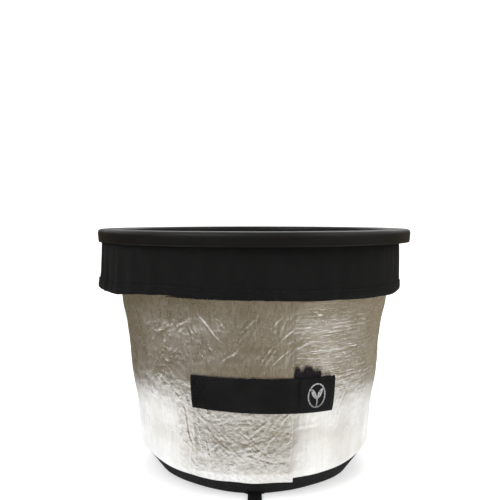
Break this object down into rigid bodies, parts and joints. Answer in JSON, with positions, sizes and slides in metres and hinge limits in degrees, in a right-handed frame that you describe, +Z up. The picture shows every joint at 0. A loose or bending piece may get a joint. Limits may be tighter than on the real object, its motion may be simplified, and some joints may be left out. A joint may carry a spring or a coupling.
{
  "type": "fabric grow bag",
  "caption": "Round fabric grow bag with a turned-down cuff, a foil insulated wrap closed by a hook-and-loop strap, and a lift-out liner pot.",
  "frame": {"origin": "centre of the underside of the base, on the ground", "axes": "+Z up along the bag's axis, the strap and the base tab on the -Y side, +X towards the strap's free end"},
  "size_m": [0.3, 0.3, 0.227],
  "materials": {
    "liner_plastic": "satin moulded polypropylene",
    "felt": "needled black felt",
    "stiffener_board": "closed-cell board",
    "eyelet_metal": "plated eyelet",
    "knit_cloth": "coarse black knit",
    "cuff_cloth": "plain-woven black polyester",
    "elastic": "covered elastic cord",
    "foil": "crinkled metallised film on scrim",
    "foam": "soft insulating foam",
    "webbing": "black polyester webbing",
    "hook_tape": "nylon hook tape",
    "label_cloth": "satin label cloth",
    "loop_tape": "napped loop tape",
    "thread": "bonded thread",
    "print": "screen-printed ink"
  },
  "bodies": {
    "bag": {"base_panel": "felt", "base_stiffener": "stiffener_board", "drain_eyelet_1": "eyelet_metal", "drain_eyelet_2": "eyelet_metal", "drain_eyelet_3": "eyelet_metal", "drain_eyelet_4": "eyelet_metal", "base_boot": "knit_cloth", "bag_wall": "felt", "cuff_skirt": "cuff_cloth", "cuff_hem": "cuff_cloth", "rim_cord": "elastic", "foil_shell": "foil", "foam_core": "foam", "loop_patch": "loop_tape"},
    "liner": {"liner_wall": "liner_plastic", "liner_rim": "liner_plastic", "liner_floor": "liner_plastic"},
    "flap": {"wrap_flap": "foil", "strap_sewn_end": "webbing", "anchor_stitch": "thread"},
    "strap": {"closure_strap": "webbing", "hook_pad": "hook_tape", "strap_label": "label_cloth", "label_emblem": "print"},
    "tab": {"base_tab": "webbing"}
  },
  "joints": [
    {"name": "liner_lift", "type": "slide", "parent": "bag", "child": "liner", "axis": [0, 0, 1], "range_m": [0, 0.25]},
    {"name": "flap_open", "type": "hinge", "parent": "bag", "child": "flap", "pos_m": [-0.06561, -0.10103, 0.0945], "axis": [0.0628, 0.0966, -0.9933], "range_deg": [0, 60]},
    {"name": "strap_peel", "type": "hinge", "parent": "flap", "child": "strap", "pos_m": [-0.04019, -0.11657, 0.09569], "axis": [0.0376, 0.1089, -0.9933], "range_deg": [0, 110]},
    {"name": "tab_lift", "type": "hinge", "parent": "bag", "child": "tab", "pos_m": [0, -0.091, 0.0026], "axis": [-1, 0, 0], "range_deg": [0, 35]}
  ]
}
